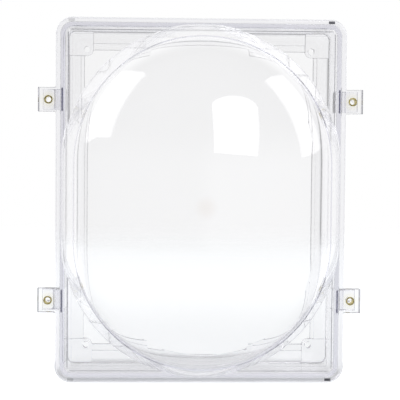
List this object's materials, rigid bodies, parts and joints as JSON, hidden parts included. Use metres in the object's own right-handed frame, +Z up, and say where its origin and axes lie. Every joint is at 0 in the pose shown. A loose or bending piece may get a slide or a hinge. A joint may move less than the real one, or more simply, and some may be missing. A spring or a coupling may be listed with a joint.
{
  "type": "strobe protective cover",
  "caption": "Clear dome cover with a rim, skirt and ears over an open-backed spacer frame, which screws to a wall and shields a strobe.",
  "frame": {"origin": "middle of the frame's back, in the plane of the wall, at the centre of the wall screw holes", "axes": "+Y into the wall, so the dome faces -Y; +Z up the wall; +X to the right seen from the front"},
  "size_m": [0.218, 0.103, 0.244],
  "materials": {
    "clear_cover": "clear moulded polycarbonate, polished",
    "clear_frame": "clear moulded polycarbonate, polished",
    "brass": "machined brass, knurled outside"
  },
  "bodies": {
    "frame": {"back_frame": "clear_frame"},
    "cover": {"dome_cover": "clear_cover", "bush_top_left": "brass", "bush_top_right": "brass", "bush_bottom_left": "brass", "bush_bottom_right": "brass"}
  },
  "joints": [
    {"name": "cover_lift", "type": "slide", "parent": "frame", "child": "cover", "axis": [0, -1, 0], "range_m": [0, 0.08]}
  ]
}
